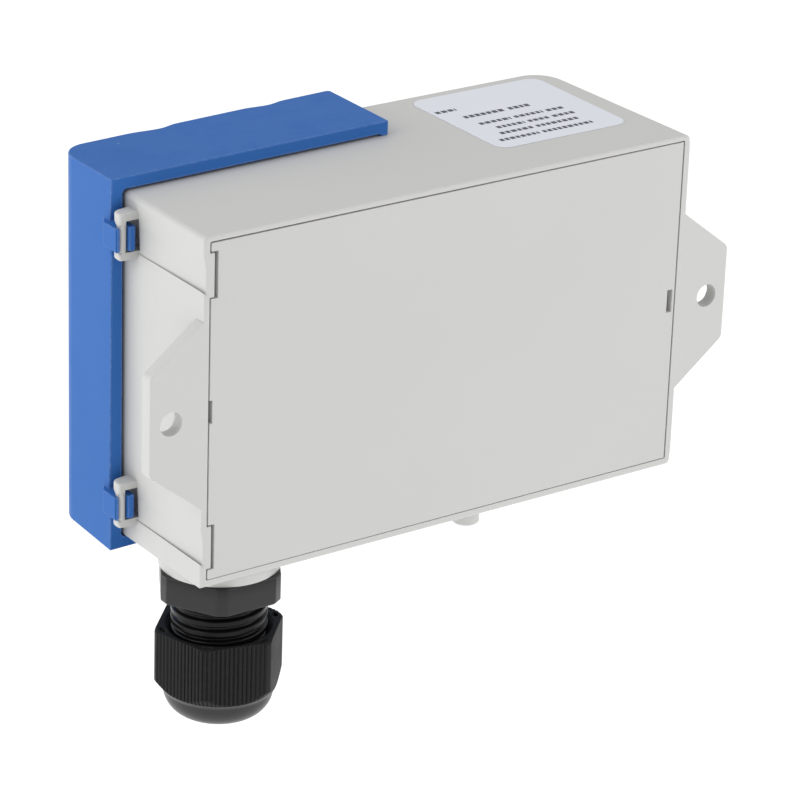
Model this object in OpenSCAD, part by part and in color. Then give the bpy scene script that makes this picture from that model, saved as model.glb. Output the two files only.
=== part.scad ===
// Wall-mounted differential pressure sensor.
// +Z is up, the wall is at Y = 0 and the front faces -Y. The origin is the
// centre of the back face, halfway between the two wall screws. All sizes in mm.

/* [Housing] */
// Width of the housing without its ears
body_w = 107.2; // [106.8:0.1:108.6]
// Height of the housing
body_h = 67.5; // [67.2:0.1:67.9]
// Depth from the wall to the plain half of the front
body_d = 44.1; // [43.6:0.1:44.6]
// Wall thickness
wall = 2.2; // [2:0.1:2.4]
// Radius of the upright front corner on the plain side
corner_r = 6.2; // [3:0.1:8]
// Depth of the front rim that the cover closes on
rim_d = 40.5; // [40.2:0.1:40.7]

/* [Wall ears] */
// Distance between the two wall screw holes
hole_pitch = 120; // [119.5:0.1:121]
// Diameter of each wall screw hole
hole_d = 4.5; // [3.5:0.1:5]
// Thickness of an ear
ear_t = 2.7; // [2:0.1:4]
// Distance from ear tip to ear tip
ear_span = 128.9; // [127:0.1:132]

/* [Back plate] */
// Thickness of the back plate
plate_t = 2; // [1.6:0.1:2]
// Gap round the back plate
plate_gap = 0.25; // [0.2:0.05:0.4]

/* [Cover] */
// Top edge of the cover above the middle
cover_top = 36.6; // [36.4:0.05:37]
// Outer side of the cover at the hinge end
cover_x = 56.7; // [56.6:0.05:56.9]
// Free end of the cover
cover_end = -4.1; // [-4.15:0.05:-4.05]
// Depth of the two finger flutes in the front of the cover
flute = 0.75; // [0:0.05:0.9]
// Diameter of the hinge bars
bar_d = 1.7; // [1.5:0.05:1.7]

/* [Cable gland] */
// Across flats of the gland's hexagon
gland_af = 22; // [21:0.5:22]
// Diameter of the coarse thread that the dome nut runs on
thread_d = 18; // [17.6:0.1:18.2]
// Bore of the rubber seal, for the cable
seal_bore = 9; // [6:0.5:9.5]
// How far the dome nut stands off the hexagon
nut_gap = 6.85; // [5.5:0.05:7.05]

/* [Hose spigots] */
// Outer diameter of a hose spigot
spigot_d = 5.4; // [4.4:0.1:5.6]
// Length of a spigot below the housing
spigot_l = 11.1; // [9:0.1:13]

/* [Label] */
// Width of the blank label on top
label_w = 30; // [20:0.5:34]
// Depth of the label
label_d = 30; // [20:0.5:32]

/* [Hidden] */
$fn = 64;

hw = body_w / 2;
hh = body_h / 2;
e = 0.01;

// gland axis
gx = 41.51;
gy = -12.45;
boss_z = -36.19;                 // lower end of the boss that the gland seats on
hex_z = boss_z - 5.75;           // lower end of the gland's hexagon
nut_z = hex_z - nut_gap;        // upper end of the dome nut

// hinge bars of the cover
bar_x = 56.55;
bar_y = -22.9;
loop_z = [0, -52.4];            // offsets of the upper and the lower loop
win0 = 24;                      // window of the upper loop
win1 = 30;
ch0 = 23.4;                     // channel behind the upper loop

// board
pcb_y = -7.2;                    // back of the board
pcb_t = 1.6;
pcb_f = pcb_y - pcb_t;          // front of the board
screw_xz = [[-44.5, 27.4], [-44.5, -27.4], [22.5, 27.4], [22.5, -27.4]];

// terminals
pole_z = [-5, 0, 5];
term_x = 21.4;

// hose spigots
sx = -18.25;
sy = [-18, -33.2];

function arc(cx, cy, r, a0, a1, n = 8) =
    [for (i = [0:n]) let (a = a0 + (a1 - a0) * i / n)
        [cx + r * cos(a), cy + r * sin(a)]];

// rectangle from (x0,y0) to (x1,y1) with rounded corners
function rrect(x0, y0, x1, y1, r, n = 5) = concat(
    arc(x1 - r, y1 - r, r, 0, 90, n), arc(x0 + r, y1 - r, r, 90, 180, n),
    arc(x0 + r, y0 + r, r, 180, 270, n), arc(x1 - r, y0 + r, r, 270, 360, n));

// box between two corners
module block(a, b) {
    translate([min(a[0], b[0]), min(a[1], b[1]), min(a[2], b[2])])
        cube([abs(b[0] - a[0]), abs(b[1] - a[1]), abs(b[2] - a[2])]);
}

// outline in X and Z, pushed from y0 to y1
module slab(pts, y0, y1) {
    translate([0, max(y0, y1), 0]) rotate([90, 0, 0])
        linear_extrude(abs(y1 - y0)) polygon(pts);
}

// round bar along Y
module ybar(x, z, r, y0, y1, fn = 48) {
    translate([x, max(y0, y1), z]) rotate([90, 0, 0])
        cylinder(r = r, h = abs(y1 - y0), $fn = fn);
}

// ---------------------------------------------------------------- housing

// plan of the housing: drafted plain side, one large corner, stepped front
outer_plan = concat(
    [[-hw, 0]],
    arc(-hw + 1.35 + corner_r, -body_d + corner_r, corner_r, 180, 270, 10),
    [[-4.45, -body_d], [-4.45, -rim_d]],
    arc(hw - 2.6, -rim_d + 2.6, 2.6, 270, 360, 6),
    [[hw, 0]]);

// cavity on the sensor side of the partition
cavity_plan = concat(
    [[-hw + wall, 1]],
    arc(-hw + 1.35 + corner_r, -body_d + corner_r, corner_r - wall, 180, 270, 8),
    [[-4.45 - wall, -body_d + wall], [-4.45 - wall, -rim_d + wall],
     [-2.2, -rim_d + wall], [-2.2, 1]]);

// one ear: slanted shoulders and a blunt tip with small corner radii
function ear_pts(s) = let (t = ear_span / 2) [
    [s * (hw - 0.6), 18.35],
    each [for (p = arc(t - 1.5, 8.67, 1.5, 52, 0, 5)) [s * p[0], p[1]]],
    each [for (p = arc(t - 1.5, -8.67, 1.5, 0, -52, 5)) [s * p[0], p[1]]],
    [s * (hw - 0.6), -18.35]];

// loop that the cover's hooks turn in: two rounded lugs and a round bar
lug_x = 57.4;
lug_plan = concat([[hw - 0.95, -25.1]],
    arc(lug_x - 1.6, -25.1 + 1.6, 1.6, 270, 360, 8),
    arc(lug_x - 0.5, -22.05 - 0.5, 0.5, 0, 90, 4),
    [[hw - 0.95, -22.05]]);
module loop(dz) {
    translate([0, 0, dz]) {
        translate([0, 0, win1]) linear_extrude(1.4) polygon(lug_plan);
        translate([0, 0, win0 - 1.5]) linear_extrude(1.5) polygon(lug_plan);
        translate([bar_x, bar_y, win0 - 0.2])
            cylinder(d = bar_d, h = win1 - win0 + 0.4, $fn = 32);
        // the upper lug reaches lower round the outer side of the bar
        intersection() {
            translate([0, 0, win1 - 0.95]) linear_extrude(1.05) polygon(lug_plan);
            translate([0, 0, win1 - 2]) linear_extrude(3)
                polygon([[56.2, -21], [56.2, -21.9], [54.6, -24.6], [54.6, -26], [60, -26], [60, -21]]);
        }
    }
}

module housing() color([0.80, 0.80, 0.78]) difference() {
    union() {
        difference() {
            translate([0, 0, -hh]) linear_extrude(body_h) polygon(outer_plan);
            // sensor side
            translate([0, 0, -hh + wall]) linear_extrude(body_h - 2 * wall)
                polygon(cavity_plan);
            // terminal side
            block([0, 1, -hh + wall], [hw - wall, -rim_d + wall, hh - wall]);
            // behind the partition the board runs through
            block([-3, 1, -hh + wall], [3, pcb_f - 0.4, hh - wall]);
            // opening that the cover closes
            slab(rrect(1.2, -26.5, hw - 3.3, 26.5, 2), -rim_d + wall + 1, -rim_d - 1);
            // groove for the gasket
            difference() {
                slab(rrect(-2.0, -29.4, hw - 0.75, 29.4, 2.5), -rim_d - 1, -rim_d + 0.8);
                slab(rrect(-0.2, -27.6, hw - 2.55, 27.6, 1.5), -rim_d - 2, -rim_d + 1.8);
            }
        }
        // wall sections that step in behind the two side channels
        for (dz = loop_z)
            block([hw - wall - 1, 0, 22.1 + dz], [hw - 1, -27, 31 + dz]);
        // posts for the board screws, joined to the top and bottom walls
        for (p = screw_xz) {
            ybar(p[0], p[1], 2.8, pcb_f, -20);
            block([p[0] - 2.8, pcb_f, p[1]],
                  [p[0] + 2.8, -20, sign(p[1]) * (hh - wall + e)]);
        }
        // socket for the gland, inside and below the bottom wall
        intersection() {
            translate([gx, gy, -hh + wall - 1]) cylinder(r = 10.3, h = 6.5, $fn = 96);
            block([0, -2.4, -40], [hw - 1, -30, 0]);
        }
        translate([gx, gy, boss_z]) cylinder(r = 11.4, h = 4, $fn = 96);
        // ears
        slab(ear_pts(1), 0, -ear_t);
        slab(ear_pts(-1), 0, -ear_t);
        for (dz = loop_z) loop(dz);
    }
    // recess for the back plate
    difference() {
        slab(rrect(-hw + 1.25, -hh + 1.4, hw - 1.25, hh - 1, 0.25), 1, -plate_t);
        for (dz = loop_z)
            block([hw - 2.2, 2, 22.3 + dz], [hw, -5, 30.6 + dz]);
    }
    // notches for the plate's snap hooks
    block([hw - 2.7, 1, -1.75], [hw - 1.25, -8.6, 2.7]);
    block([-hw + 2.7, 1, -1.75], [-hw + 1.25, -8.6, 2.7]);
    // side channels behind the loops: shallow, deepest at the back
    for (dz = loop_z) {
        translate([0, 0, ch0 + dz]) linear_extrude(win1 - ch0) polygon([
            [hw + 1, 1], [hw - 0.5, 1], [hw - 0.5, 0], [hw - 0.12, -22], [hw + 1, -22]]);
        // pocket beside the bar, where the cover's hook turns
        translate([0, 0, win0 + dz]) linear_extrude(win1 - win0) polygon([
            [hw + 1, -21.5], [hw, -21.5], [hw - 0.45, -22], [hw - 1.3, -22.3],
            [hw - 1.3, -26.2], [hw + 1, -26.2]]);
    }
    // thread of the gland, drawn at its clearance diameter
    translate([gx, gy, -60]) cylinder(r = 8, h = 45, $fn = 96);
    // holes for the hose spigots, with a seat for each ring
    for (y = sy) {
        translate([sx, y, -hh - 1]) cylinder(r = 2.9, h = 5, $fn = 48);
        translate([sx, y, -hh + wall - 1]) cylinder(r = 3.9, h = 3, $fn = 48);
    }
    // pilot holes for the board screws
    for (p = screw_xz) ybar(p[0], p[1], 1.15, pcb_f + 1, -17.5, 32);
    // wall screw holes
    for (s = [-1, 1]) ybar(s * hole_pitch / 2, 0, hole_d / 2, 1, -ear_t - 1);
}

// ------------------------------------------------------------- back plate

module back_plate() color([0.79, 0.79, 0.77]) {
    g = plate_gap;
    x1 = hw - 1.25 - g;
    z1 = hh - 1 - g;
    difference() {
        slab(rrect(-x1, -z1 + 0.27, x1, z1, 0.2), 0, -plate_t);
        // clears the wall sections behind the side channels
        block([hw - 2.95, 1, 22.3 - g], [hw, -5, 30.6 + g]);
        block([hw - 2.85, 1, 22.3 - 52.4 - g], [hw, -5, 30.6 - 52.4 + g]);
        // dark slots beside the snap hooks
        block([hw - 2.1, 1, -1.7], [hw, -5, 2.7]);
        block([-hw + 3.2, 1, -1.6], [-hw + 2.0, -5, 3.0]);
    }
    // snap hooks, inboard of the slots
    for (s = [-1, 1])
        block([s * (hw - 3.3), -plate_t + 0.5, -1.5], [s * (hw - 4.4), -8, 2.4]);
}

// ------------------------------------------------------------------ label

module label() color([0.86, 0.87, 0.90])
    translate([0, 0, hh]) linear_extrude(0.15)
        polygon(rrect(-47.7, -11.1 - label_d, -47.7 + label_w, -11.1, 2.7, 8));

// ------------------------------------------------------------------ cover

// front surface of the cover: a slight slant and two shallow flutes
function bump(x, a, m, b) = x <= a || x >= b ? 0 :
    let (t = x < m ? (x - a) / (m - a) : (b - x) / (b - m)) t * t * (3 - 2 * t);
function front_y(x) = -47.75 + 0.0472 * x
    + flute * bump(x, 31, 34.8, 41.8) + 0.88 * flute * bump(x, 6.8, 10.4, 16);

cover_plan = concat(
    [[cover_x, -26.3]],
    arc(cover_x - 5.5, -39.85, 5.5, 0, -87.3, 12),
    [for (i = [0:40]) let (x = 47.8 - i * 1.25) [x, front_y(x)]],
    [[cover_end + 0.5, front_y(-3)], [cover_end, front_y(-3) + 0.5]],
    [[cover_end, -28]]);

cover_inner = concat(
    [[cover_x - 2.4, -20]],
    arc(cover_x - 5.5, -39.85, 3.1, 0, -87.3, 7),
    [[40, front_y(40) + 2.7], [10, front_y(10) + 2.4], [-2.4, front_y(-3) + 2.4]],
    [[-2.4, -20]]);

// hook that grips the hinge bar from the front
module hook(dz) {
    z0 = 24.3 + dz;
    z1 = 28.85 + dz;
    difference() {
        translate([0, 0, z0]) linear_extrude(z1 - z0)
            polygon([[56.6, -29], [54.6, -29], [54.3, -26.3], [54.2, -22.05],
                     [54.5, -21.75], [55.45, -21.75], [55.75, -22.05], [55.55, -22.8], [57.49, -22.8],
                     [57.49, -21.95], [57.8, -21.95], [58.15, -22.3], [58.15, -26.6]]);
        translate([bar_x, bar_y, 0]) cylinder(d = bar_d + 0.16, h = 200, center = true, $fn = 32);
    }
}

module cover() color([0.20, 0.42, 0.74]) {
    difference() {
        intersection() {
            translate([0, 0, -38]) linear_extrude(38 + cover_top) polygon(cover_plan);
            // underside rises a little towards the front
            rotate([90, 0, 90]) translate([0, 0, -10]) linear_extrude(70)
                polygon([[-20, 42], [-20, -36.6], [-45.5, -35.2], [-52, -34.85], [-52, 42]]);
        }
        translate([0, 0, -34.1]) linear_extrude(68.4) polygon(cover_inner);
        // the free end wall stops just clear of the housing
        block([-6, -40.8, -33.95], [-2, -20, 33.85]);
    }
    // sealing rib
    difference() {
        slab(rrect(-2.5, -29.2, hw - 0.95, 29.2, 2.4), -41.8, front_y(20) + 1.5);
        slab(rrect(-0.5, -27.8, hw - 2.35, 27.8, 1.4), -40, -52);
        // trimmed to the inside of the slanted front
        translate([0, 0, -40]) linear_extrude(80)
            polygon([[-10, front_y(-10) + 1], [60, front_y(60) + 1], [60, -60], [-10, -60]]);
    }
    // catch that enters the opening of the housing
    block([1.7, -36, -4], [2.9, front_y(2) + 1.2, 4]);
    for (dz = loop_z) hook(dz);
}

module cover_gasket() color([0.12, 0.12, 0.12]) difference() {
    slab(rrect(-1.9, -29.3, hw - 0.85, 29.3, 2.4), -rim_d - 1, -rim_d + 0.8);
    slab(rrect(-0.3, -27.7, hw - 2.45, 27.7, 1.6), -rim_d - 2, -rim_d + 2);
}

// ------------------------------------------------------- board and sensor

module circuit_board() color([0.10, 0.35, 0.20]) difference() {
    slab(rrect(-48, -30, 26.8, 30, 1), pcb_y, pcb_f);
    for (p = screw_xz) ybar(p[0], p[1], 1.6, pcb_y + 1, pcb_f - 1, 32);
}

// four pan-head screws that hold the board on its posts
module board_screws() color([0.72, 0.72, 0.70])
    for (p = screw_xz) difference() {
        union() {
            ybar(p[0], p[1], 2.4, pcb_y + 1.8, pcb_y, 40);
            ybar(p[0], p[1], 1.1, pcb_y + 0.1, -16.5, 32);
        }
        for (a = [0, 90]) translate([p[0], pcb_y + 1.8, p[1]]) rotate([0, a, 0])
            cube([3, 2, 0.55], center = true);
    }

port_x = [-22.7, -15.7];
port_y = -14.4;

// pressure cell with two ports pointing down
module sensor_cell() color([0.15, 0.15, 0.16]) {
    difference() {
        union() {
            block([-27.7, pcb_f, 4], [-10.7, pcb_f - 8.4, 22]);
            block([-26.3, pcb_f - 8.3, 6], [-12.1, pcb_f - 9.4, 20]);
            for (x = port_x)
                translate([x, port_y, -4]) cylinder(r = 1.6, h = 8.5, $fn = 40);
            for (x = port_x)
                translate([x, port_y, 2]) cylinder(r = 2.3, h = 2.5, $fn = 40);
        }
        for (x = port_x)
            translate([x, port_y, -5]) cylinder(r = 0.8, h = 12, $fn = 32);
    }
}

// soft tube swept along a smooth path between a cell port and a spigot
function mix(a, b, t) = a + (b - a) * t;
// straight at both ends, with a smooth bend between
function ease(t) = let (u = min(1, max(0, (t - 0.2) / 0.65))) u * u * (3 - 2 * u);
function tube_path(a, b, n) = [for (i = [0:n]) let (t = i / n)
    [mix(a[0], b[0], ease(t)), mix(a[1], b[1], ease(t)), mix(a[2], b[2], t)]];

module tube(a, b) {
    n = 24;
    m = 14;
    p = tube_path(a, b, n);
    ro = 2.5;
    ri = 1.66;
    function dir(i) = let (q = p[min(n, i + 1)] - p[max(0, i - 1)]) q / norm(q);
    function ring(i, r) = let (
        d = i == 0 || i == n ? [0, 0, -1] : dir(i),
        u0 = cross(d, [0, 1, 0]), u = u0 / norm(u0), v = cross(d, u))
        [for (k = [0:m - 1]) p[i] + r * (cos(360 * k / m) * u + sin(360 * k / m) * v)];
    pts = concat([for (i = [0:n]) each ring(i, ro)], [for (i = [0:n]) each ring(i, ri)]);
    s = (n + 1) * m;
    faces = concat(
        [for (i = [0:n - 1], k = [0:m - 1]) let (k2 = (k + 1) % m)
            [i * m + k, (i + 1) * m + k, (i + 1) * m + k2, i * m + k2]],
        [for (i = [0:n - 1], k = [0:m - 1]) let (k2 = (k + 1) % m)
            [s + i * m + k2, s + (i + 1) * m + k2, s + (i + 1) * m + k, s + i * m + k]],
        [for (k = [0:m - 1]) let (k2 = (k + 1) % m) [k, k2, s + k2, s + k]],
        [for (k = [0:m - 1]) let (k2 = (k + 1) % m)
            [n * m + k2, n * m + k, s + n * m + k, s + n * m + k2]]);
    polyhedron(pts, faces, convexity = 6);
}

module tube_rear() color([0.85, 0.85, 0.82, 0.8])
    tube([port_x[0], port_y, 1.8], [sx, sy[0], -28.3]);
module tube_front() color([0.85, 0.85, 0.82, 0.8])
    tube([port_x[1], port_y, 1.8], [sx, sy[1], -28.3]);

// hose spigot: plain stem through the bottom wall, inner nipple
module spigot(y) difference() {
    translate([sx, y, 0]) rotate_extrude($fn = 64) polygon([
        [0, -hh - spigot_l], [spigot_d / 2 - 0.35, -hh - spigot_l],
        [spigot_d / 2, -hh - spigot_l + 0.35], [spigot_d / 2, -hh - 0.6],
        [2.86, -hh - 0.3], [2.86, -hh + wall], [4.6, -hh + wall],
        [4.6, -hh + wall + 1.4], [1.6, -hh + wall + 1.6],
        [1.6, -24.9], [1.35, -24.4], [0, -24.4]]);
    translate([sx, y, -60]) cylinder(r = 0.9, h = 60, $fn = 32);
}
module hose_spigot_rear() color([0.83, 0.83, 0.81]) spigot(sy[0]);
module hose_spigot_front() color([0.83, 0.83, 0.81]) spigot(sy[1]);

module spigot_orings() color([0.10, 0.10, 0.10])
    for (y = sy) translate([sx, y, -hh + wall - 0.5])
        rotate_extrude($fn = 48) translate([3.37, 0]) circle(r = 0.48, $fn = 24);

// -------------------------------------------------------- board parts

// square package with a row of flat legs on each side
module microcontroller() color([0.10, 0.10, 0.11]) {
    cx = 8.5;
    cz = 1;
    block([cx - 3.5, pcb_f - 0.12, cz - 3.5], [cx + 3.5, pcb_f - 1.3, cz + 3.5]);
    for (k = [-3:3]) {
        block([cx - 4.5, pcb_f, cz + k - 0.2], [cx + 4.5, pcb_f - 0.13, cz + k + 0.2]);
        block([cx + k - 0.2, pcb_f, cz - 4.5], [cx + k + 0.2, pcb_f - 0.13, cz + 4.5]);
    }
}

module voltage_regulator() color([0.12, 0.12, 0.13]) {
    block([17, pcb_f, 13], [23.6, pcb_f - 2.3, 19]);
    block([17.6, pcb_f, 18.9], [23, pcb_f - 1, 20.4]);
    for (x = [18.4, 22.2]) block([x - 0.4, pcb_f, 10.6], [x + 0.4, pcb_f - 1, 13.1]);
}

module bridge_rectifier() color([0.11, 0.11, 0.12]) {
    block([16.8, pcb_f, -19.4], [23.2, pcb_f - 2.9, -11]);
    for (x = [15.9, 24.1], z = [-17.7, -12.7])
        block([x - 1, pcb_f, z - 0.45], [x + 1, pcb_f - 0.9, z + 0.45]);
}

module smoothing_capacitor() color([0.16, 0.17, 0.22])
    translate([8.2, pcb_f, -14]) rotate([90, 0, 0]) rotate_extrude($fn = 64) polygon([
        [0, 0], [4.0, 0], [4.0, 0.9], [3.7, 1.3], [3.7, 1.8], [4.0, 2.2],
        [4.0, 10.6], [3.7, 11], [0, 11]]);

// three-pole terminal with rising clamps; wires enter from the gland's side
module terminal_block() color([0.16, 0.42, 0.24]) difference() {
    translate([0, 0, -7.7]) linear_extrude(15.4) polygon([
        [16.6, pcb_f], [25.6, pcb_f], [25.6, -18.2], [24.2, -20.4], [18.4, -20.4],
        [16.6, -17.4]]);
    for (z = pole_z) {
        ybar(term_x, z, 1.95, -17.9, -22);
        ybar(term_x, z, 1.15, -16, -18.5, 32);
        block([19.2, pcb_f - 1, z - 1.9], [23.6, -17, z + 1.9]);
        block([23, -14.2, z - 1.5], [27, -10.6, z + 1.5]);
        // slot for the fixed contact and its leg
        block([17.9, pcb_f + 1, z - 1.35], [19.5, -14, z + 1.35]);
        block([23.5, -13.95, z - 1.35], [23.95, -13.1, z + 1.35]);
    }
    // jack-in chamfer along the wire side
    for (z = pole_z) translate([25.6, -12.4, z]) rotate([0, 90, 0])
        cylinder(r1 = 0.8, r2 = 2.0, h = 1.2, center = true, $fn = 32);
}

// fixed contact of each pole, with its leg down to the board
module terminal_contacts() color([0.80, 0.66, 0.35])
    for (z = pole_z) {
        block([18.1, -13.2, z - 1.1], [23.8, -13.8, z + 1.1]);
        block([18.1, pcb_f, z - 1.1], [18.7, -13.3, z + 1.1]);
    }

module terminal_screw(z) difference() {
    union() {
        ybar(term_x, z, 1.85, -17.92, -19.5, 40);
        ybar(term_x, z, 1.0, -13.85, -18, 32);
    }
    translate([term_x, -19.5, z]) cube([4.4, 1.5, 0.6], center = true);
}
module terminal_screw_1() color([0.75, 0.75, 0.73]) terminal_screw(pole_z[0]);
module terminal_screw_2() color([0.75, 0.75, 0.73]) terminal_screw(pole_z[1]);
module terminal_screw_3() color([0.75, 0.75, 0.73]) terminal_screw(pole_z[2]);

// square cage that the screw draws up against the wire
module wire_clamp(z) difference() {
    block([19.4, -9.9, z - 1.75], [23.4, -14.9, z + 1.75]);
    block([19, -10.8, z - 1.2], [24, -14.0, z + 1.2]);
    ybar(term_x, z, 1.06, -12, -16, 32);
}
module wire_clamp_1() color([0.78, 0.78, 0.76]) wire_clamp(pole_z[0]);
module wire_clamp_2() color([0.78, 0.78, 0.76]) wire_clamp(pole_z[1]);
module wire_clamp_3() color([0.78, 0.78, 0.76]) wire_clamp(pole_z[2]);

// push switch that sets the zero point
module zero_switch() color([0.13, 0.13, 0.14]) difference() {
    union() {
        block([5, pcb_f, 13], [11, pcb_f - 3.4, 19]);
        for (x = [4.6, 11.4], z = [14, 18])
            block([x - 0.5, pcb_f, z - 0.35], [x + 0.5, pcb_f - 0.8, z + 0.35]);
    }
    ybar(8, 16, 1.85, pcb_f - 1.2, pcb_f - 4, 40);
}
module zero_button() color([0.75, 0.20, 0.16])
    ybar(8, 16, 1.75, pcb_f - 1.6, pcb_f - 6, 40);

// ------------------------------------------------------------ cable gland

// hexagon with its corners clipped by a second hexagon
module clipped_hex(af, clip, h) intersection() {
    cylinder(r = af / 2 / cos(30), h = h, $fn = 6);
    rotate(30) cylinder(r = clip / cos(30), h = h, $fn = 6);
}

module gland_body() color([0.20, 0.20, 0.21]) translate([gx, gy, 0]) difference() {
    union() {
        translate([0, 0, boss_z - 0.5]) cylinder(r = 7.95, h = 9.2, $fn = 96);
        intersection() {
            translate([0, 0, hex_z]) clipped_hex(gland_af, 12.25, 5.75);
            // small bevel on the lower corners
            translate([0, 0, hex_z]) rotate_extrude($fn = 96) polygon([
                [0, 0], [11.6, 0], [12.8, 0.7], [12.8, 6], [0, 6]]);
        }
        translate([0, 0, hex_z - 10.6]) cylinder(d = thread_d, h = 10.7, $fn = 96);
    }
    translate([0, 0, -60]) cylinder(r = 5.6, h = 40, $fn = 64);
    // seat for the seal
    translate([0, 0, hex_z - 12]) cylinder(r = 7.3, h = 8, $fn = 64);
    // groove for the ring under the boss
    translate([0, 0, boss_z - 0.9]) difference() {
        cylinder(r = 9.75, h = 2, $fn = 96);
        translate([0, 0, -1]) cylinder(r = 8.15, h = 4, $fn = 96);
    }
}

module gland_oring() color([0.08, 0.08, 0.08])
    translate([gx, gy, boss_z - 0.85]) rotate_extrude($fn = 96)
        translate([8.25, 0]) square([1.4, 0.85]);

module gland_seal() color([0.10, 0.10, 0.10]) translate([gx, gy, 0]) difference() {
    translate([0, 0, hex_z - 14.3]) rotate_extrude($fn = 64) polygon([
        [0, 0], [6.2, 0], [7.2, 2.2], [7.2, 10.25], [0, 10.25]]);
    translate([0, 0, -70]) cylinder(d = seal_bore, h = 60, $fn = 64);
}

// thrust washer between the seal and the dome nut
module gland_washer() color([0.75, 0.75, 0.72]) translate([gx, gy, nut_z - 12.3])
    difference() {
        cylinder(r = 8.0, h = 1.1, $fn = 64);
        translate([0, 0, -1]) cylinder(r = 5.5, h = 4, $fn = 64);
    }

nut_turn = 46;                  // how the dome nut happens to be turned
nut_af = 22;
rib_p = 0.85;                   // pitch of the ribs on the ribbed flats

// outline of the nut: rounded hexagon, two plain flats and four ribbed ones
function turned(p, a) = [p[1] * cos(a) - p[0] * sin(a), p[1] * sin(a) + p[0] * cos(a)];
function nut_side(k) = let (a = 60 * k + 30, ap = nut_af / 2)
    (k == 1 || k == 4)
    ? [for (t = [-5.4, 5.4]) turned([t, ap], a)]
    : [for (i = [-6:6]) each [for (j = [[-0.38, -0.12], [-0.18, 0.2], [0.18, 0.2], [0.38, -0.12]])
            turned([i * rib_p + j[0], ap + j[1]], a)]];
function nut_corner(k) = [for (b = [-3, 0, 3]) let (a = 60 * k + b)
    [12.35 * cos(a), 12.35 * sin(a)]];
nut_plan = [for (k = [0:5]) each concat(nut_corner(k), nut_side(k))];

module gland_nut() color([0.21, 0.21, 0.22]) translate([gx, gy, nut_z]) difference() {
    intersection() {
        union() {
            translate([0, 0, -13.2]) rotate(nut_turn) linear_extrude(13.2) polygon(nut_plan);
            translate([0, 0, -18]) cylinder(r = 10.35, h = 6, $fn = 96);
        }
        // dome below and a light bevel above
        rotate_extrude($fn = 96) polygon(concat(
            [[0, 0], [11.9, 0], [12.8, -0.5], [12.8, -9.7], [10.35, -12.9]],
            arc(5.4, -12.95, 4.95, 0, -90, 12), [[0, -17.9]]));
    }
    // thread, drawn at its clearance diameter, with a lead-in
    translate([0, 0, -7.5]) cylinder(d = thread_d + 0.2, h = 8, $fn = 96);
    translate([0, 0, -0.8]) cylinder(r1 = thread_d / 2 + 0.1, r2 = 10.1, h = 0.81, $fn = 96);
    // room for the washer and the dome's inside
    translate([0, 0, -12.3]) cylinder(r = 8.6, h = 5, $fn = 96);
    translate([0, 0, -15.6]) cylinder(r1 = 5.6, r2 = 7.3, h = 3.32, $fn = 96);
    translate([0, 0, -20]) cylinder(r = 5.4, h = 10, $fn = 64);
}

housing();
back_plate();
label();
cover();
cover_gasket();
circuit_board();
board_screws();
sensor_cell();
microcontroller();
voltage_regulator();
bridge_rectifier();
smoothing_capacitor();
terminal_block();
terminal_contacts();
terminal_screw_1();
terminal_screw_2();
terminal_screw_3();
wire_clamp_1();
wire_clamp_2();
wire_clamp_3();
zero_switch();
zero_button();
hose_spigot_rear();
hose_spigot_front();
spigot_orings();
tube_rear();
tube_front();
gland_body();
gland_oring();
gland_seal();
gland_washer();
gland_nut();
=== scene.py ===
import math
import random

import bmesh
import bpy
from mathutils import Matrix, Vector


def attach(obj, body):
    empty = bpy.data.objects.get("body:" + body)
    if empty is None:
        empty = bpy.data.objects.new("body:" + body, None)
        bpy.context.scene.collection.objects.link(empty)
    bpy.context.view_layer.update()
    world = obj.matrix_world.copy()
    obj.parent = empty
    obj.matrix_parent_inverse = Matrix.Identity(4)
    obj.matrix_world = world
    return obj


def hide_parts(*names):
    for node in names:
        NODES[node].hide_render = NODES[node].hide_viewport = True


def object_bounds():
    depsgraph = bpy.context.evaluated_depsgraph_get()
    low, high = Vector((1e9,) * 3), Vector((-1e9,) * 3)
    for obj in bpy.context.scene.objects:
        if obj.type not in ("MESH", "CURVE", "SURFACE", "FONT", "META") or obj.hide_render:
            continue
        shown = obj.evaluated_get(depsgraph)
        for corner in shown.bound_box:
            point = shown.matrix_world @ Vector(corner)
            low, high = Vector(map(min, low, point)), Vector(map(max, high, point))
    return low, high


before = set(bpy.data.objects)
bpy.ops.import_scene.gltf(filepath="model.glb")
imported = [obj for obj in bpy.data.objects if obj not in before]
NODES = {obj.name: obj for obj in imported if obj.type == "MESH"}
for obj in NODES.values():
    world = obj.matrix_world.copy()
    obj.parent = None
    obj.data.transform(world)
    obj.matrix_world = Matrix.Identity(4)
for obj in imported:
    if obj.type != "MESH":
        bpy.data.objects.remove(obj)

CAD_BOX = [list(v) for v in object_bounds()]
MM = 0.001
scene = bpy.context.scene

# ---------------------------------------------------------------- sizes, mm
HW, HH = 53.6, 33.75
GX, GY = 41.51, -12.45
BOSS_Z, HEX_Z, NUT_Z = -36.19, -41.94, -48.79
THREAD_PHASE = 0.32
THREAD_R, PITCH = 9.0, 2.1
PCB_F = -8.8
NUT_TURN = 46.0


def sstep(a, b, x):
    t = min(1.0, max(0.0, (x - a) / (b - a)))
    return t * t * (3 - 2 * t)


def softmin(k, *v):
    """Smallest of several values, rounded where two of them meet, over about k."""
    m = min(v)
    s = sum(math.exp(-(x - m) / k) for x in v)
    return m - k * math.log(s)


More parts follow.
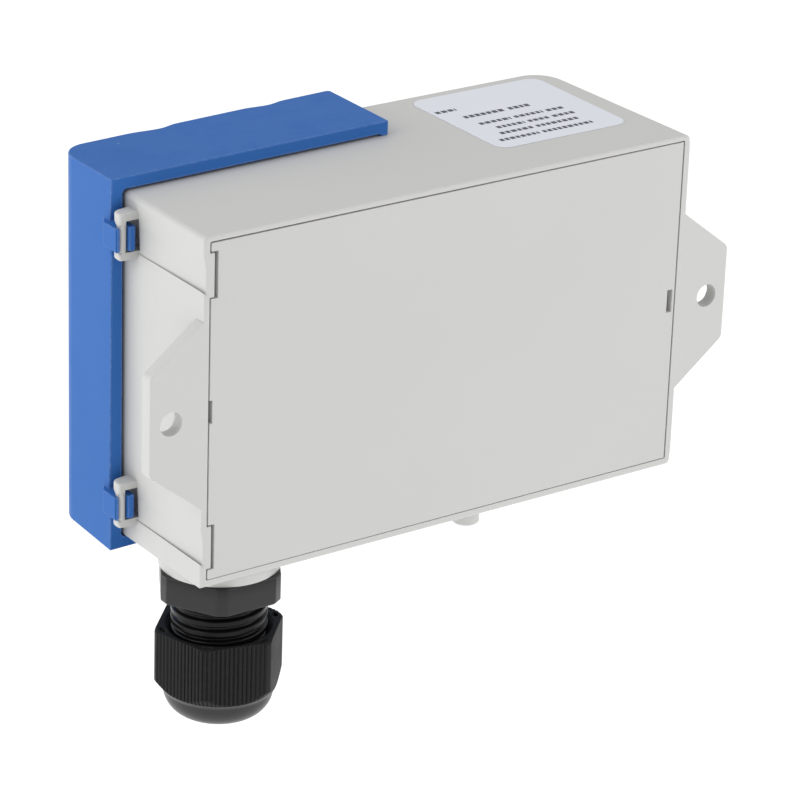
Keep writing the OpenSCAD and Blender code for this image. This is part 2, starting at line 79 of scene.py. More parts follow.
# ------------------------------------------------------------------ camera
def make_camera():
    az, el, roll, dist = (math.radians(145.0417), math.radians(23.5222),
                          math.radians(1.78766), 782.154 * 0.9 * MM)
    target = Vector((20.281, 0, -5.992)) * 0.9 * MM
    b = Vector((math.sin(az) * math.cos(el), -math.cos(az) * math.cos(el), math.sin(el)))
    x = Vector((0, 0, 1)).cross(b).normalized()
    y = b.cross(x)
    x2 = math.cos(roll) * x + math.sin(roll) * y
    y2 = -math.sin(roll) * x + math.cos(roll) * y
    cam = bpy.data.cameras.new("camera")
    cam.sensor_width = 36
    cam.lens = 36 * 3882.69 / 800
    cam.shift_x = (400 - 367.463) / 800
    cam.shift_y = (404.489 - 400) / 800
    cam.clip_start, cam.clip_end = 0.05, 20
    ob = bpy.data.objects.new("camera", cam)
    scene.collection.objects.link(ob)
    c = target + dist * b
    ob.matrix_world = Matrix(((x2.x, y2.x, b.x, c.x), (x2.y, y2.y, b.y, c.y),
                              (x2.z, y2.z, b.z, c.z), (0, 0, 0, 1)))
    scene.camera = ob


# --------------------------------------------------------------- materials
class Nodes:
    """Small helper around one material's node tree."""

    def __init__(self, name):
        self.mat = bpy.data.materials.new(name)
        self.mat.use_nodes = True
        self.t = self.mat.node_tree
        self.b = self.t.nodes["Principled BSDF"]
        self.co = self.t.nodes.new("ShaderNodeTexCoord")

    def n(self, kind, **props):
        node = self.t.nodes.new("ShaderNode" + kind)
        for k, v in props.items():
            setattr(node, k, v)
        return node

    def link(self, a, b):
        self.t.links.new(a, b)

    def noise(self, scale, detail=2.0, rough=0.5, squash=None):
        src = self.co.outputs["Object"]
        if squash:
            m = self.n("Mapping")
            m.inputs["Scale"].default_value = squash
            self.link(src, m.inputs["Vector"])
            src = m.outputs["Vector"]
        t = self.n("TexNoise")
        t.inputs["Scale"].default_value = scale
        t.inputs["Detail"].default_value = detail
        t.inputs["Roughness"].default_value = rough
        self.link(src, t.inputs["Vector"])
        return t.outputs["Fac"]

    def ramp(self, fac, lo, hi, a, b):
        r = self.n("MapRange", clamp=True)
        r.interpolation_type = "SMOOTHSTEP"
        for k, v in (("From Min", lo), ("From Max", hi), ("To Min", a), ("To Max", b)):
            r.inputs[k].default_value = v
        self.link(fac, r.inputs["Value"])
        return r.outputs["Result"]

    def mix(self, fac, a, b):
        m = self.n("Mix", data_type="RGBA")
        for sock, v in ((m.inputs[0], fac), (m.inputs[6], a), (m.inputs[7], b)):
            if isinstance(v, bpy.types.NodeSocket):
                self.link(v, sock)
            elif isinstance(v, (int, float)):
                sock.default_value = v
            else:
                sock.default_value = (*v, 1)
        return m.outputs[2]

    def math(self, op, a, b):
        m = self.n("Math", operation=op)
        for sock, v in ((m.inputs[0], a), (m.inputs[1], b)):
            if isinstance(v, bpy.types.NodeSocket):
                self.link(v, sock)
            else:
                sock.default_value = v
        return m.outputs[0]

    def bump(self, height, strength, distance, chain=None):
        p = self.n("Bump")
        p.inputs["Strength"].default_value = strength
        p.inputs["Distance"].default_value = distance
        self.link(height, p.inputs["Height"])
        if chain is not None:
            self.link(chain, p.inputs["Normal"])
        return p.outputs["Normal"]


def scaled(rgb, k):
    return tuple(min(1.0, c * k) for c in rgb)


def moulded(name, rgb, rough=0.45, grain=0.05, grain_scale=5200, spec=0.5,
            blotch=0.035, edge=0.10, coat=0.0, edge_r=0.45, wave=0.10, nicks=0.0, painted_shade=0.0):
    """Moulded plastic: fine spark-eroded grain, slow colour drift, worn edges with a painted edge highlight, faint
    handling marks, and optional painted shade where sheltered.
    """
    m = Nodes(name)
    slow = m.noise(26, 2, 0.5)
    mid = m.noise(150, 4, 0.6)
    fine = m.noise(grain_scale, 2, 0.5)
    base = m.mix(m.ramp(slow, 0.3, 0.7, 0, 1), scaled(rgb, 1 - blotch), scaled(rgb, 1 + blotch))
    base = m.mix(m.ramp(mid, 0.55, 0.78, 0, 0.20), base, scaled(rgb, 1 - 2.2 * blotch))
    # worn edges, partly a painted edge highlight: lighter where the bevelled normal leaves the true one
    bev = m.n("Bevel", samples=4)
    bev.inputs["Radius"].default_value = edge_r * MM
    geo = m.n("NewGeometry")
    dot = m.n("VectorMath", operation="DOT_PRODUCT")
    m.link(bev.outputs["Normal"], dot.inputs[0])
    m.link(geo.outputs["Normal"], dot.inputs[1])
    wear_and_highlight = m.ramp(dot.outputs["Value"], 0.995, 0.80, 0, 1)
    wear_and_highlight = m.math("MULTIPLY", wear_and_highlight, m.ramp(m.noise(900, 3, 0.6), 0.35, 0.65, 0.35, 1.0))
    light = tuple(c + (1 - c) * 0.35 for c in rgb)
    base = m.mix(m.math("MULTIPLY", wear_and_highlight, edge), base, light)
    if nicks:
        # sparse pale specks from handling
        v = m.n("TexVoronoi", feature="F1")
        v.inputs["Scale"].default_value = 120
        m.link(m.co.outputs["Object"], v.inputs["Vector"])
        d = m.math("MULTIPLY", m.ramp(v.outputs["Distance"], 0.035, 0.02, 0, 1),
                   m.ramp(m.noise(60, 1, 0.5), 0.56, 0.60, 0, nicks))
        base = m.mix(d, base, light)
    if painted_shade:
        # painted shade: a little darker where the surface is sheltered
        ao = m.n("AmbientOcclusion", samples=6)
        ao.inputs["Distance"].default_value = 0.008
        base = m.mix(m.ramp(ao.outputs["AO"], 0.30, 0.92, painted_shade, 0.0), base, scaled(rgb, 0.5))
    m.link(base, m.b.inputs["Base Color"])
    r = m.ramp(mid, 0.35, 0.75, rough - 0.035, rough + 0.045)
    r = m.math("SUBTRACT", r, m.math("MULTIPLY", wear_and_highlight, 0.05))
    m.link(r, m.b.inputs["Roughness"])
    m.b.inputs["Specular IOR Level"].default_value = spec
    m.b.inputs["Coat Weight"].default_value = coat
    m.b.inputs["Coat Roughness"].default_value = 0.25
    n1 = m.bump(slow, wave, 0.0002)
    n2 = m.bump(fine, grain, 0.00012, n1)
    m.link(n2, m.b.inputs["Normal"])
    return m.mat


def metal(name, rgb, rough=0.3, brushed=(1, 1, 1), scale=2500, tarnish=0.25):
    m = Nodes(name)
    br = m.noise(scale, 3, 0.6, squash=brushed)
    blot = m.noise(600, 3, 0.6)
    base = m.mix(m.ramp(blot, 0.4, 0.7, 0, tarnish), rgb, scaled(rgb, 0.55))
    m.link(base, m.b.inputs["Base Color"])
    m.b.inputs["Metallic"].default_value = 1.0
    m.link(m.ramp(br, 0.3, 0.7, rough - 0.08, rough + 0.12), m.b.inputs["Roughness"])
    m.link(m.bump(br, 0.12, 0.00005), m.b.inputs["Normal"])
    return m.mat


def rubber(name, rgb, rough=0.6):
    m = Nodes(name)
    f = m.noise(2400, 3, 0.6)
    s = m.noise(160, 3, 0.6)
    base = m.mix(m.ramp(s, 0.4, 0.7, 0, 1), rgb, scaled(rgb, 1.7))
    m.link(base, m.b.inputs["Base Color"])
    m.link(m.ramp(f, 0.3, 0.7, rough - 0.08, rough + 0.1), m.b.inputs["Roughness"])
    m.b.inputs["Specular IOR Level"].default_value = 0.35
    m.link(m.bump(f, 0.2, 0.00006), m.b.inputs["Normal"])
    return m.mat


def silicone(name):
    m = Nodes(name)
    s = m.noise(240, 3, 0.6)
    m.link(m.mix(m.ramp(s, 0.35, 0.7, 0, 1), (0.70, 0.70, 0.66), (0.78, 0.78, 0.75)),
           m.b.inputs["Base Color"])
    m.link(m.ramp(s, 0.3, 0.7, 0.25, 0.4), m.b.inputs["Roughness"])
    m.b.inputs["Subsurface Weight"].default_value = 0.4
    m.b.inputs["Subsurface Radius"].default_value = (0.002, 0.002, 0.0018)
    m.b.inputs["Subsurface Scale"].default_value = 1.0
    m.link(m.bump(s, 0.1, 0.0001), m.b.inputs["Normal"])
    return m.mat


def board_mat(name):
    """Green solder mask over fine copper tracks, which show as a lighter raised pattern."""
    m = Nodes(name)
    cell = m.n("TexVoronoi", feature="DISTANCE_TO_EDGE")
    mp = m.n("Mapping")
    mp.inputs["Scale"].default_value = (1.0, 0.0, 1.0)
    m.link(m.co.outputs["Object"], mp.inputs["Vector"])
    m.link(mp.outputs["Vector"], cell.inputs["Vector"])
    cell.inputs["Scale"].default_value = 330
    cell.inputs["Randomness"].default_value = 0.35
    wave = m.n("TexWave", wave_type="BANDS", bands_direction="X", wave_profile="TRI")
    m.link(mp.outputs["Vector"], wave.inputs["Vector"])
    wave.inputs["Scale"].default_value = 190
    wave.inputs["Distortion"].default_value = 0.0
    tracks = m.ramp(cell.outputs["Distance"], 0.10, 0.13, 1, 0)
    region = m.ramp(m.noise(70, 1, 0.4), 0.47, 0.50, 0, 1)
    lines = m.math("MULTIPLY", m.ramp(wave.outputs["Fac"], 0.62, 0.66, 0, 1), region)
    cu = m.math("MAXIMUM", m.math("MULTIPLY", tracks, m.math("SUBTRACT", 1.0, region)), lines)
    mottled = m.ramp(m.noise(300, 3, 0.6), 0.3, 0.7, 0, 1)
    green = m.mix(mottled, (0.008, 0.075, 0.035), (0.012, 0.095, 0.045))
    m.link(m.mix(cu, green, (0.022, 0.17, 0.075)), m.b.inputs["Base Color"])
    m.link(m.ramp(m.noise(900, 2, 0.5), 0.3, 0.7, 0.24, 0.34), m.b.inputs["Roughness"])
    m.b.inputs["Coat Weight"].default_value = 0.35
    m.b.inputs["Coat Roughness"].default_value = 0.15
    m.link(m.bump(cu, 0.35, 0.00004), m.b.inputs["Normal"])
    return m.mat


def floor_mat():
    m = Nodes("floor")
    m.link(m.mix(m.noise(6, 3, 0.5), (0.50, 0.50, 0.50), (0.52, 0.52, 0.52)),
           m.b.inputs["Base Color"])
    m.b.inputs["Roughness"].default_value = 0.9
    m.b.inputs["Specular IOR Level"].default_value = 0.1
    m.b.inputs["Emission Color"].default_value = (1, 1, 1, 1)
    m.b.inputs["Emission Strength"].default_value = 0.74
    return m.mat


MAT = {
    # housing: its AO term paints shade into sheltered places such as the boss under the box, and its edge lightening is
    # partly a painted highlight
    "housing_grey": moulded("housing_grey", (0.645, 0.645, 0.630), rough=0.52, grain=0.08, spec=0.40, blotch=0.008, edge=0.16, edge_r=0.6, wave=0.05, painted_shade=0.45),
    "plate_grey": moulded("plate_grey", (0.640, 0.640, 0.622), rough=0.52, grain=0.08, spec=0.40, blotch=0.008, edge=0.06, wave=0.05),
    # cover: its strong edge lightening is mostly a painted highlight along the rim edge, with some wear
    "cover_blue": moulded("cover_blue", (0.039, 0.156, 0.488), rough=0.40, grain=0.05, spec=0.10, blotch=0.012, edge=0.45, edge_r=0.55, wave=0.03, nicks=0.5),
    "black_rubber": rubber("black_rubber", (0.012, 0.012, 0.012)),
    "board_green": board_mat("board_green"),
    "screw_steel": metal("screw_steel", (0.62, 0.62, 0.60), 0.30),
    "component_black": moulded("component_black", (0.018, 0.018, 0.019), rough=0.55, grain=0.35, grain_scale=4200, blotch=0.12, edge=0.10, spec=0.4),
    "capacitor_sleeve": moulded("capacitor_sleeve", (0.018, 0.022, 0.05), rough=0.25, grain=0.03, blotch=0.08, edge=0.1),
    "capacitor_top": metal("capacitor_top", (0.72, 0.72, 0.71), 0.28),
    "terminal_green": moulded("terminal_green", (0.020, 0.170, 0.062), rough=0.42, grain=0.06, blotch=0.04, edge=0.2, spec=0.4),
    "contact_brass": metal("contact_brass", (0.72, 0.60, 0.34), 0.28),
    "button_red": moulded("button_red", (0.46, 0.030, 0.022), rough=0.35, grain=0.04, blotch=0.04, edge=0.15),
    "spigot_grey": moulded("spigot_grey", (0.640, 0.640, 0.622), rough=0.40, grain=0.05, blotch=0.012, edge=0.08, spec=0.4),
    "silicone_clear": silicone("silicone_clear"),
    "gland_black": moulded("gland_black", (0.0185, 0.0185, 0.0197), rough=0.30, grain=0.04, blotch=0.08, edge=0.05, spec=0.38),
    # thread: the gland plastic made darker, as painted shade
    "thread_shaded_black": moulded("thread_shaded_black", (0.0045, 0.0045, 0.0047), rough=0.26, grain=0.03, blotch=0.08, edge=0.05, spec=0.20),
    "nut_black": moulded("nut_black", (0.0170, 0.0179, 0.0172), rough=0.55, grain=0.06, blotch=0.08, edge=0.05, spec=0.12),
    "dome_black": moulded("dome_black", (0.0250, 0.0250, 0.0247), rough=0.32, grain=0.05, blotch=0.06, edge=0.05, spec=0.40),
    "washer_grey": moulded("washer_grey", (0.45, 0.45, 0.43), rough=0.45),
    "solder": metal("solder", (0.70, 0.70, 0.69), 0.22, tarnish=0.1),
    "gold_pad": metal("gold_pad", (0.85, 0.66, 0.30), 0.25, tarnish=0.1),
    "silk": moulded("silk", (0.75, 0.75, 0.72), rough=0.6, grain=0.1),
    "ceramic": moulded("ceramic", (0.30, 0.20, 0.12), rough=0.45, grain=0.1, blotch=0.06),
    "label_film": moulded("label_film", (0.83, 0.86, 0.93), rough=0.36, grain=0.03, blotch=0.006, edge=0.0, spec=0.35, wave=0.0),
    "label_print": moulded("label_print", (0.085, 0.092, 0.11), rough=0.45, grain=0.03, blotch=0.05, edge=0.0, wave=0.0),
}


def use(ob, mat):
    me = ob.data
    if len(me.materials) == 0:
        me.materials.append(None)
    for i in range(len(ob.material_slots)):
        ob.material_slots[i].link = "OBJECT"
        ob.material_slots[i].material = MAT[mat]


# ------------------------------------------------------------- mesh helpers
def finish_mesh(me, sharp=35):
    me.validate()
    for p in me.polygons:
        p.use_smooth = True
    me.set_sharp_from_angle(angle=math.radians(sharp))


def new_object(name, me, mat, body="root", replaces=()):
    ob = bpy.data.objects.new(name, me)
    scene.collection.objects.link(ob)
    me.materials.append(MAT[mat])
    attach(ob, body)
    for n in replaces:
        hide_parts(n)
    return ob


def add_bevel(ob, width, segs=2, angle=30):
    m = ob.modifiers.new("bevel", "BEVEL")
    m.width = width * MM
    m.segments = segs
    m.limit_method = "ANGLE"
    m.angle_limit = math.radians(angle)
    m.use_clamp_overlap = True
    m.harden_normals = False
    m.miter_outer = "MITER_ARC"
    w = ob.modifiers.new("weighted", "WEIGHTED_NORMAL")
    w.keep_sharp = True
    return m


def node_bmesh(node, angle=0.8):
    """Copy of a CAD node's mesh with its flat faces merged."""
    bm = bmesh.new()
    bm.from_mesh(NODES[node].data)
    bmesh.ops.remove_doubles(bm, verts=bm.verts, dist=2e-6)
    bmesh.ops.dissolve_limit(bm, angle_limit=math.radians(angle), use_dissolve_boundaries=False,
                             verts=bm.verts, edges=bm.edges, delimit=set())
    return bm


def bevel_where(bm, test, width, segs=4):
    """Rounds the sharp edges whose two ends pass test(end, end in mm)."""
    edges = []
    for e in bm.edges:
        if len(e.link_faces) != 2:
            continue
        if e.calc_face_angle(0) < math.radians(30):
            continue
        a, b = e.verts[0].co / MM, e.verts[1].co / MM
        if test(a, b):
            edges.append(e)
    if edges:
        bmesh.ops.bevel(bm, geom=edges, offset=width * MM, offset_type="OFFSET", segments=segs,
                        profile=0.5, affect="EDGES", clamp_overlap=False, loop_slide=True,
                        harden_normals=False)
    return len(edges)


def tidy_bevel(bm, width, segs=2, angle=30):
    """Rounds every sharp edge that has room for it, and leaves the edges beside tiny steps as they are."""
    w = width * MM

    def off(p, a, b):
        d = b - a
        t = max(0.0, min(1.0, (p - a).dot(d) / d.length_squared)) if d.length_squared else 0.0
        return (a + t * d - p).length

    def crowded(e):
        """True if another edge of the same face runs close beside e."""
        a, b = e.verts[0].co, e.verts[1].co
        u = (b - a).normalized()
        for f in e.link_faces:
            for g in f.edges:
                if g is e or g.verts[0] in e.verts or g.verts[1] in e.verts:
                    continue
                c, d = g.verts[0].co, g.verts[1].co
                if abs((d - c).normalized().dot(u)) < 0.7:
                    continue
                t = sorted(((c - a).dot(u), (d - a).dot(u)))
                if min(t[1], (b - a).length) - max(t[0], 0.0) < 0.05 * MM:
                    continue
                if min(off(c, a, b), off(d, a, b), off(a, c, d), off(b, c, d)) < 2.05 * w:
                    return True
        return False

    sharp = [e for e in bm.edges if len(e.link_faces) == 2 and e.calc_face_angle(0) > math.radians(angle)]
    out = []
    for e in sharp:
        ok = not crowded(e)
        for v in e.verts:
            d1 = (e.other_vert(v).co - v.co).normalized()
            for f in v.link_edges:
                if f is not e and f.calc_length() < 2.05 * w:
                    d2 = (f.other_vert(v).co - v.co).normalized()
                    if d1.dot(d2) > -0.85:
                        ok = False
        if ok:
            out.append(e)
    if out:
        bmesh.ops.bevel(bm, geom=out, offset=w, offset_type="OFFSET", segments=segs, profile=0.5,
                        affect="EDGES", clamp_overlap=False, loop_slide=True, harden_normals=False)
    return len(sharp), len(out)


def even_normals(ob):
    w = ob.modifiers.new("weighted", "WEIGHTED_NORMAL")
    w.keep_sharp = True
    w.weight = 100


def to_mesh(bm, name, sharp=30):
    bmesh.ops.recalc_face_normals(bm, faces=bm.faces)
    me = bpy.data.meshes.new(name)
    bm.to_mesh(me)
    bm.free()
    finish_mesh(me, sharp)
    return me


def ring_mesh(name, rings, sharp=38, closed_profile=True, centre=(0, 0, 0)):
    """Surface through rings of points, each ring a closed loop with the same number of points."""
    n = len(rings[0])
    c = Vector(centre)
    verts = [tuple((Vector(p) + c) * MM) for r in rings for p in r]
    faces = []
    m = len(rings)
    for i in range(m if closed_profile else m - 1):
        a, b = i * n, ((i + 1) % m) * n
        for k in range(n):
            k2 = (k + 1) % n
            faces.append((a + k, a + k2, b + k2, b + k))
    me = bpy.data.meshes.new(name)
    me.from_pydata(verts, [], faces)
    bm = bmesh.new()
    bm.from_mesh(me)
    bmesh.ops.recalc_face_normals(bm, faces=bm.faces)
    bm.to_mesh(me)
    bm.free()
    finish_mesh(me, sharp)
    return me


def box_bm(bm, lo, hi, bevel=0.0, segs=2):
    """Adds a box with rounded edges to bm, sizes in mm."""
    lo, hi = Vector(lo), Vector(hi)
    mat = Matrix.Translation((lo + hi) / 2 * MM) @ Matrix.Diagonal((*((hi - lo) * MM), 1))
    r = bmesh.ops.create_cube(bm, size=1.0, matrix=mat)
    if bevel:
        es = list({e for v in r["verts"] for e in v.link_edges})
        bmesh.ops.bevel(bm, geom=es, offset=bevel * MM, segments=segs, profile=0.5,
                        affect="EDGES", clamp_overlap=True)


# ------------------------------------------------------------------ gland
def thread_r(theta, z, root, crest, phase=0.0):
    """Radius of a right-handed rounded thread at angle theta and height z (mm)."""
    u = ((z - phase) / PITCH - theta / (2 * math.pi)) % 1.0
    d = abs(u - 0.5) * 2                      # 0 on the crest, 1 in the root
    h = 1 - sstep(0.40, 0.86, d)
    return root + (crest - root) * h


def hex_r(theta, ap, turn, k):
    """Hexagon with apothem ap and one vertex at angle turn, corners rounded over about k."""
    rs = []
    for i in range(6):
        a = math.radians(turn + 30 + 60 * i)
        c = math.cos(theta - a)
        if c > 0.3:
            rs.append(ap / c)
    return softmin(k, *rs)


def gland_body_mesh():
    n = 240
    th = [2 * math.pi * i / n for i in range(n)]

    def hexring(z, inset, clip):
        out = []
        for t in th:
            r = 11.0 / math.cos(((math.degrees(t) % 60) - 30) * math.pi / 180)
            c = clip / math.cos((((math.degrees(t) + 30) % 60) - 30) * math.pi / 180)
            out.append(softmin(0.010, r, c) - inset)
        return [(r * math.cos(t), r * math.sin(t), z) for r, t in zip(out, th)]

    def ring(r, z):
        return [(r * math.cos(t), r * math.sin(t), z) for t in th]

    rings = []
    # threaded stem up into the housing
    z1 = BOSS_Z + 8.7
    rings += [ring(5.6, z1), ring(7.0, z1), ring(7.35, z1 - 0.35)]
    z = z1 - 0.7
    while z > BOSS_Z + 0.6:
        rings.append([(lambda r, t: (r * math.cos(t), r * math.sin(t), z))(
            7.95 - 0.55 * (0.5 + 0.5 * math.cos(2 * math.pi * z / 1.5 - t)), t) for t in th])
        z -= 0.19
    rings += [ring(7.4, BOSS_Z + 0.35), ring(7.4, BOSS_Z - 0.02),
              ring(8.15, BOSS_Z - 0.9), ring(9.75, BOSS_Z - 0.9), ring(9.75, BOSS_Z - 0.03)]
    # hexagon, with rounded upper and lower edges
    top, bot = BOSS_Z - 0.01, HEX_Z
    rings += [hexring(top, 0.55, 12.13), hexring(top - 0.02, 0.30, 12.13), hexring(top - 0.12, 0.10, 12.13),
              hexring(top - 0.30, 0.0, 12.13), hexring(top - 2.5, 0.0, 12.13), hexring(bot + 0.55, 0.0, 12.13)]
    for q in range(1, 7):
        a = math.pi / 2 * q / 6
        rings.append(hexring(bot + 0.5 * (1 - math.sin(a)), 0.5 * (1 - math.cos(a)), 12.13 - 0.35 * (q / 6) ** 2))
    rings += [hexring(bot, 0.8, 12.0), ring(9.6, bot)]
    # neck and coarse thread
    root, crest = THREAD_R - 0.78, THREAD_R
    rings += [ring(root + 0.25, bot), ring(root + 0.05, bot - 0.08), ring(root, bot - 0.2)]
    z = bot - 0.3
    end = HEX_Z - 10.6
    while z > end + 0.25:
        f = sstep(bot - 0.25, bot - 1.3, z) if z > bot - 1.3 else 1.0
        f *= sstep(end + 0.1, end + 1.1, z)
        rr = []
        for t in th:
            r = thread_r(t, z, root, crest, NUT_Z + THREAD_PHASE)
            rr.append(root + (r - root) * f)
        rings.append([(r * math.cos(t), r * math.sin(t), z) for r, t in zip(rr, th)])
        z -= 0.11
    rings += [ring(root - 0.05, end + 0.12), ring(root - 0.3, end), ring(7.6, end), ring(7.3, end + 0.2)]
    rings += [ring(7.3, HEX_Z - 4.0), ring(5.6, HEX_Z - 4.0)]
    me = ring_mesh("gland_body_visual", rings, 50, True, (GX, GY, 0))
    # the hexagon's upright edges stay crisp, and the thread has a glossier finish and a darker base, which is painted
    # shade from the hexagon and nut around it
    bm = bmesh.new()
    bm.from_mesh(me)
    for e in bm.edges:
        a, b = e.verts[0].co, e.verts[1].co
        if min(a.z, b.z) > (HEX_Z + 0.4) * MM and max(a.z, b.z) < (BOSS_Z + 0.01) * MM \
                and math.hypot(a.x - GX * MM, a.y - GY * MM) > 10.4 * MM \
                and abs(a.z - b.z) > math.hypot(a.x - b.x, a.y - b.y) and e.calc_face_angle(0) > math.radians(9):
            e.smooth = False
    for f in bm.faces:
        c = f.calc_center_median() / MM
        if c.z < HEX_Z - 0.02 and math.hypot(c.x - GX, c.y - GY) > 7.2:
            f.material_index = 1
    bm.to_mesh(me)
    bm.free()
    return me


def nut_mesh():
    n = 840
    th = [2 * math.pi * i / n for i in range(n)]
    ap, rc = 11.0, 12.35
    # base outline and the length along it, from the middle of the ribbed corner
    base = [softmin(0.045, hex_r(t, ap, NUT_TURN, 0.02), rc) for t in th]
    step = [0.0] * n
    for i in range(n):
        j = (i + 1) % n
        p = (base[i] * math.cos(th[i]), base[i] * math.sin(th[i]))
        q = (base[j] * math.cos(th[j]), base[j] * math.sin(th[j]))
        step[i] = math.hypot(p[0] - q[0], p[1] - q[1])
    rib = [0.0] * n
    for corner in (NUT_TURN, NUT_TURN + 180):
        i0 = round(corner / 360 * n) % n
        for sgn in (1, -1):
            s, i = 0.0, i0
            while s < 12.2:
                d = 0.5 + 0.5 * math.cos(2 * math.pi * (s / 0.856))
                h = -0.30 * (1 - min(1.0, d / 0.55)) ** 1.4 if d < 0.55 else 0.0
                fade = 1 - sstep(11.75, 12.15, s)
                rib[i] = h * fade
                j = (i + sgn) % n
                s += step[i] if sgn > 0 else step[j]
                i = j
    def outer(z):
        out = []
        for i in range(n):
            top = 11.75 + (-z) * 1.6 + 0.1               # light bevel at the upper edge
            cone = 12.75 - (-z - 9.9) * 0.80             # chamfer at the lower end
            out.append(softmin(0.03, base[i], top, cone) + rib[i] * (1 - sstep(11.7, 12.05, -z)))
        return out

    def ring(r, z):
        if not isinstance(r, list):
            r = [r] * n
        return [(a * math.cos(t), a * math.sin(t), z) for a, t in zip(r, th)]

    rings = []
    for z in (-0.0, -0.03, -0.08, -0.15, -0.25, -0.4, -0.6, -0.9, -2.5, -4.5, -6.5, -8.5, -9.3):
        if z == 0.0:
            o = [min(a - 0.12, 99) for a in outer(-0.0)]
            rings.append(ring(o, z))
        elif z == -0.03:
            rings.append(ring([a - 0.04 for a in outer(z)], z))
        else:
            rings.append(ring(outer(z), z))
    z = -9.6
    while z > -13.0:
        rings.append(ring([max(a, 10.38) for a in outer(z)], z))
        z -= 0.16
    # shoulder and dome
    rings += [ring(10.36, -13.05), ring(10.34, -13.2)]
    cx, cz, rr = 5.4, -12.95, 4.95
    for q in range(2, 19):
        a = math.pi / 2 * q / 18
        rings.append(ring(cx + rr * math.cos(a), cz - rr * math.sin(a)))
    # mouth at the bottom
    rings += [ring(5.15 + 0.3, -17.89), ring(5.42, -17.8), ring(5.40, -17.6), ring(5.40, -15.6)]
    # hollow above it
    rings += [ring(5.6, -15.58), ring(7.3, -12.35), ring(8.55, -12.13), ring(8.6, -12.1), ring(8.6, -9.6)]
    # inside thread
    z = -9.4
    while z < -0.9:
        f = sstep(-9.4, -8.4, z) * (1 - sstep(-1.7, -0.95, z))
        rr2 = []
        for t in th:
            g = thread_r(t, z, THREAD_R - 0.78, THREAD_R, THREAD_PHASE) + 0.12
            rr2.append(g * f + (THREAD_R + 0.1) * (1 - f))
        rings.append(ring(rr2, z))
        z += 0.28
    rings += [ring(THREAD_R + 0.1, -0.85), ring(9.6, -0.42), ring(10.02, -0.06), ring(10.12, -0.01)]
    # upper face, with a small hollow at each corner
    rim = [a - 0.12 for a in outer(0.0)]
    for q in range(1, 10):
        f, pts = q / 10, []
        for a, t in zip(rim, th):
            r = 10.12 + (a - 10.12) * f
            d = (math.degrees(t) - NUT_TURN + 30) % 60 - 30
            k = ((r - 10.92) / 0.50) ** 2 + (math.radians(d) * 10.92 / 1.0) ** 2
            pts.append((r * math.cos(t), r * math.sin(t), -0.7 * (1 - sstep(0.55, 1.1, k))))
        rings.append(pts)
    me = ring_mesh("gland_nut_visual", rings, 42, True, (GX, GY, NUT_Z))
    # the dome below the ribs is a little smoother
    for f in me.polygons:
        c = f.center / MM
        if c.z < NUT_Z - 12.0 and math.hypot(c.x - GX, c.y - GY) > 5.5 \
                and (c.z < NUT_Z - 12.95 or math.hypot(c.x - GX, c.y - GY) > 9.5):
            f.material_index = 1
    return me


# ------------------------------------------------------------------ build
make_camera()

# housing: the CAD shape with its long outer edges rounded
def near(a, b, t=0.03):
    return abs(a - b) < t

LOOPS = (0.0, -52.4)


bm = node_bmesh("housing")


def cut_level(bm, z, test):
    """Adds an edge loop at height z to the faces whose centre passes test (mm)."""
    fs = [f for f in bm.faces if test(f.calc_center_median() / MM, f.normal)]
    geo = list({x for f in fs for x in (*f.verts, *f.edges)}) + fs
    bmesh.ops.bisect_plane(bm, geom=geo, plane_co=(0, 0, z * MM), plane_no=(0, 0, 1))


for dz in LOOPS:
    cut_level(bm, 28.0 + dz, lambda c, n: n.x > 0.9 and HW - 0.52 < c.x < HW - 0.05 and c.y > -22.1
              and 23.3 + dz < c.z < 30.1 + dz)
    cut_level(bm, 29.75 + dz, lambda c, n: abs(n.z) < 0.3 and c.x > HW + 0.5 and -26 < c.y < -21.5
              and 28.9 + dz < c.z < 31.5 + dz and math.hypot(c.x - 56.55, c.y + 22.9) > 0.86)
def run_out(bm, z):
    """Lets the upper end of a side channel at height z run out into the wall, with no step left."""
    level_z = [v for v in bm.verts if near(v.co.z / MM, z, 0.02)]
    inner = sorted((v for v in level_z if HW - 0.52 < v.co.x / MM < HW - 0.08 and v.co.y / MM > -22.1),
                   key=lambda v: -v.co.y)
    a = [v for v in level_z if near(v.co.x / MM, HW, 0.01) and near(v.co.y / MM, 0, 0.01)]
    b = [v for v in level_z if near(v.co.x / MM, HW, 0.01) and near(v.co.y / MM, -22.05, 0.02)]
    if len(inner) != 3 or len(a) != 1 or len(b) != 1:
        print("channel end not as expected", z, len(inner), len(a), len(b))
        return
    a, b = a[0], b[0]
    face = [f for f in b.link_faces if inner[2] in f.verts and a in f.verts][0]
    bmesh.utils.face_split(face, inner[2], b)
    strip = [f for f in a.link_faces if inner[1] in f.verts and b in f.verts and inner[2] in f.verts][0]
    bmesh.ops.delete(bm, geom=[strip], context="FACES_ONLY")
    edge = [e for e in a.link_edges if b in e.verts][0]
    y0, y1 = a.co.y, b.co.y
    e2, v1 = bmesh.utils.edge_split(edge, a, (inner[1].co.y - y0) / (y1 - y0))
    v1.co.y = inner[1].co.y
    rest = [e for e in v1.link_edges if b in e.verts][0]
    e3, v2 = bmesh.utils.edge_split(rest, v1, (inner[2].co.y - v1.co.y) / (y1 - v1.co.y))
    v2.co.y = inner[2].co.y
    for v in inner:
        v.co.x = a.co.x


